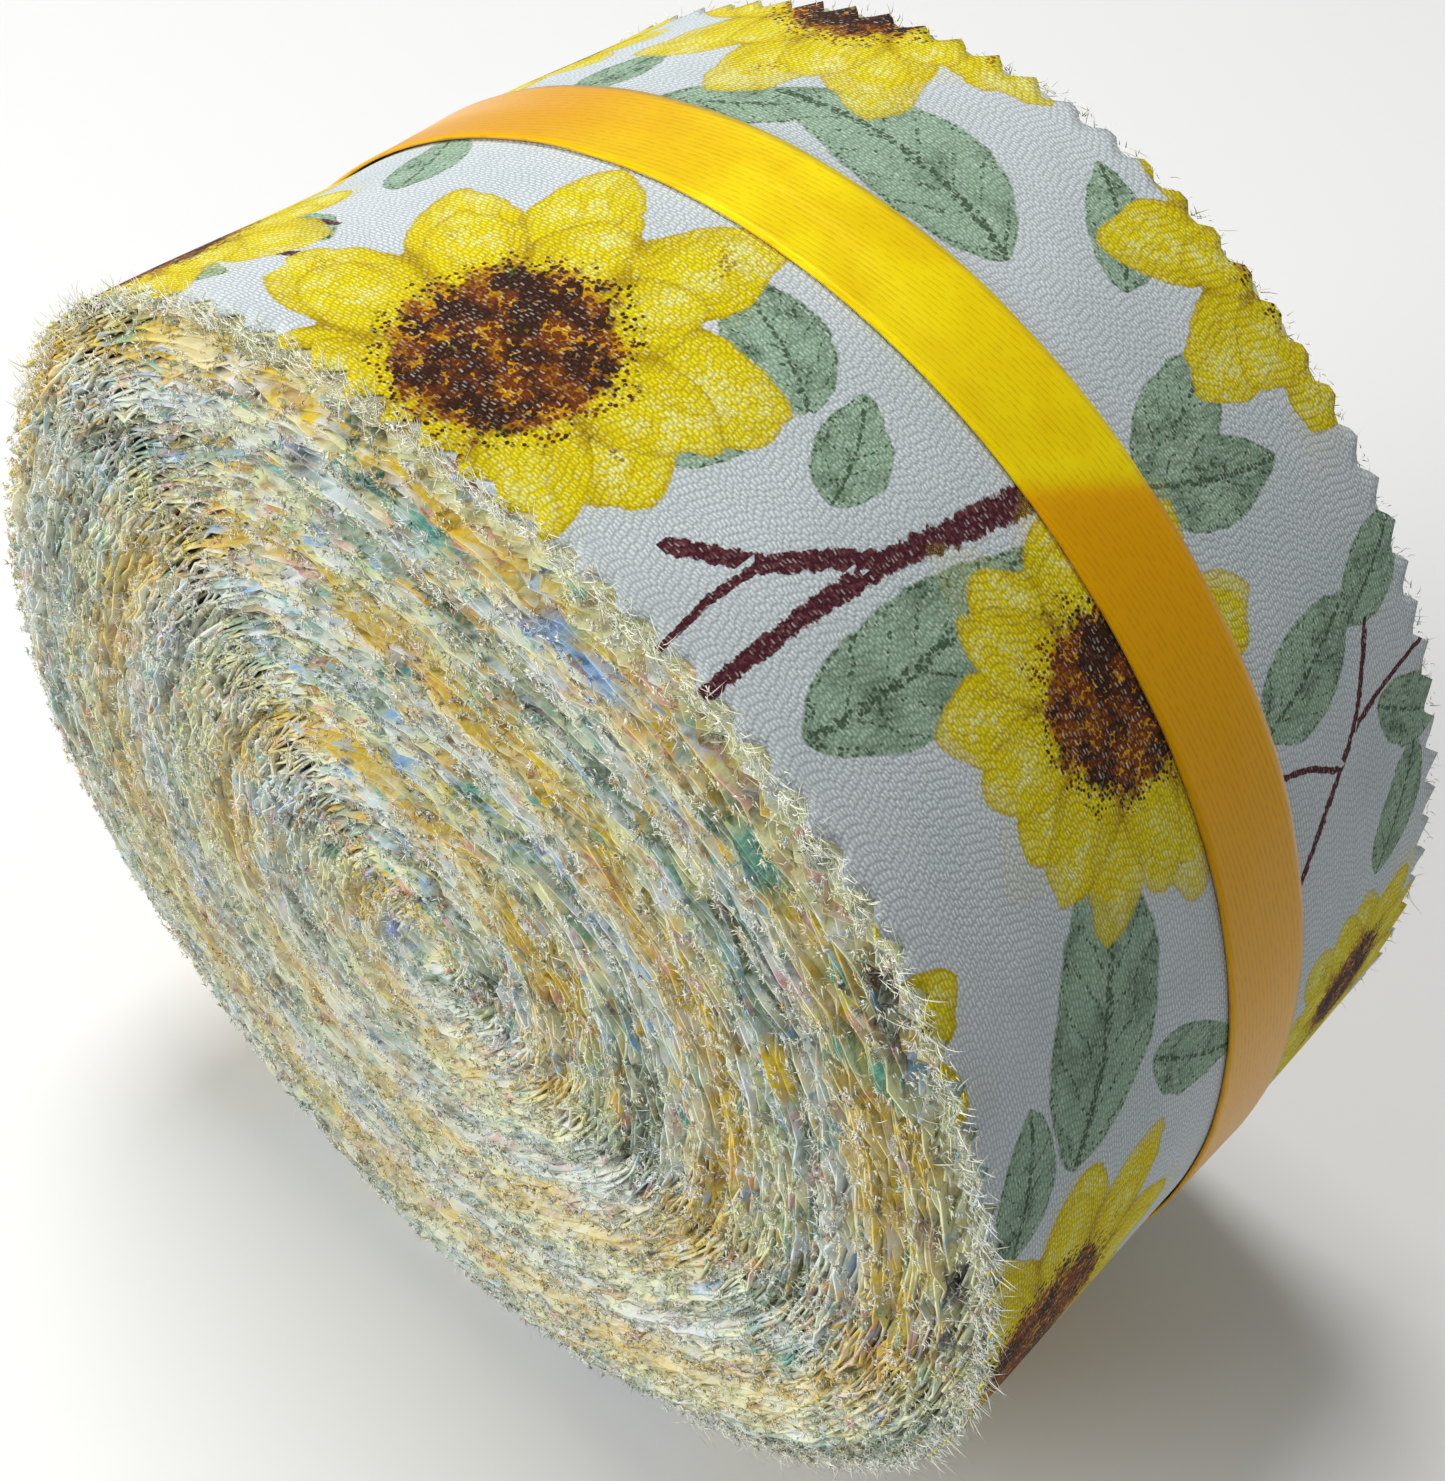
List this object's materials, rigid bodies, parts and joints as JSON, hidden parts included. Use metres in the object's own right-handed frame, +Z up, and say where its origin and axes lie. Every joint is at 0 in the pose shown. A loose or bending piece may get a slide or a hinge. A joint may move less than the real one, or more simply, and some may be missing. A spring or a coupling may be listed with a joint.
{
  "type": "jelly roll of fabric strips tied with a ribbon",
  "caption": "Pinked cotton quilting strips wound into one tight roll, printed with sunflowers and tied round the rim with a satin ribbon; stands on its rim.",
  "frame": {"origin": "under the middle of the bounding box, on the surface that the roll stands on", "axes": "+Z up; +Y along the roll's axis, so the face with the clearest rings looks towards -Y; +X across the roll"},
  "size_m": [0.1196, 0.0678, 0.1176],
  "materials": {
    "cotton_strips": "printed cotton, pinked and frayed at the edges",
    "satin_ribbon": "golden yellow satin"
  },
  "bodies": {
    "root": {"strip_roll": "cotton_strips", "ribbon": "satin_ribbon"}
  },
  "joints": []
}
